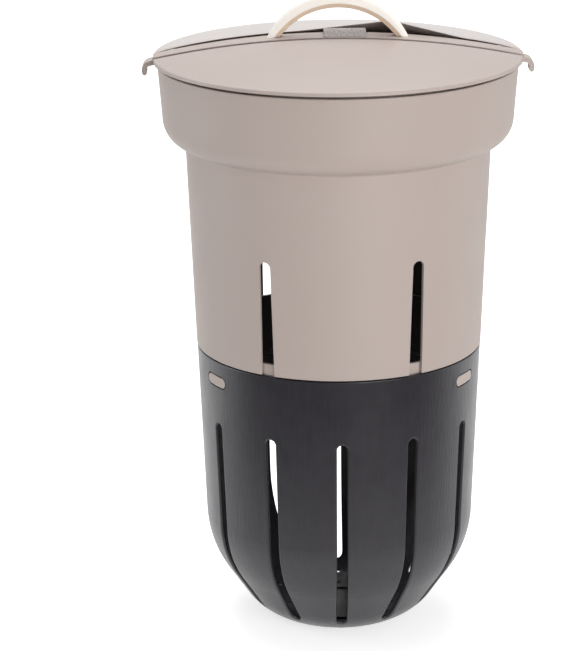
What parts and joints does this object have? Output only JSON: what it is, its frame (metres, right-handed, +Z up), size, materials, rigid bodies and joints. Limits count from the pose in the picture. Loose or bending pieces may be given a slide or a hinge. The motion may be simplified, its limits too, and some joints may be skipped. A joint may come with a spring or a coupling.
{
  "type": "in-ground worm composter",
  "caption": "Tapered round composting tube with a wide collar, a slotted bullet-shaped basket below, and a domed lid in two flaps under a carry handle.",
  "frame": {"origin": "centre of the basket's flat foot, on the plane it stands on", "axes": "+Z up along the axis of tube and basket, +X along the lid's bridge, -Y towards the feeding flap"},
  "size_m": [0.3342, 0.3217, 0.5614],
  "materials": {
    "basket_black": "fine moulded grain, satin",
    "body_taupe": "fine moulded grain, satin",
    "lid_taupe": "fine moulded grain, satin",
    "handle_cream": "smooth satin",
    "badge_grey": "rough blank plate",
    "pin_steel": "drawn steel pin"
  },
  "bodies": {
    "vessel": {"basket": "basket_black", "upper_body": "body_taupe"},
    "lid": {"lid_frame": "lid_taupe", "carry_handle": "handle_cream", "badge_plate": "badge_grey", "front_hinge_pin": "pin_steel", "rear_hinge_pin": "pin_steel"},
    "front_flap": {"front_flap": "lid_taupe"},
    "rear_flap": {"rear_flap": "lid_taupe"},
    "latch_left": {"latch_left": "body_taupe"},
    "latch_right": {"latch_right": "body_taupe"},
    "latch_rear": {"latch_rear": "body_taupe"}
  },
  "joints": [
    {"name": "lid_lift", "type": "slide", "parent": "vessel", "child": "lid", "axis": [0, 0, 1], "range_m": [0, 0.1]},
    {"name": "front_flap_hinge", "type": "hinge", "parent": "lid", "child": "front_flap", "pos_m": [0, -0.0161, 0.521], "axis": [-1, 0, 0], "range_deg": [0, 100]},
    {"name": "rear_flap_hinge", "type": "hinge", "parent": "lid", "child": "rear_flap", "pos_m": [0, 0.16149, 0.5032], "axis": [-1, 0, 0], "range_deg": [0, 110]},
    {"name": "latch_left_press", "type": "hinge", "parent": "vessel", "child": "latch_left", "pos_m": [-0.10132, -0.0585, 0.2541], "axis": [0.5, -0.866, 0], "range_deg": [0, 12], "stiffness_Nm_per_rad": 0.8},
    {"name": "latch_right_press", "type": "hinge", "parent": "vessel", "child": "latch_right", "pos_m": [0.10132, -0.0585, 0.2541], "axis": [0.5, 0.866, 0], "range_deg": [0, 12], "stiffness_Nm_per_rad": 0.8},
    {"name": "latch_rear_press", "type": "hinge", "parent": "vessel", "child": "latch_rear", "pos_m": [0, 0.117, 0.2541], "axis": [-1, 0, 0], "range_deg": [0, 12], "stiffness_Nm_per_rad": 0.8}
  ]
}
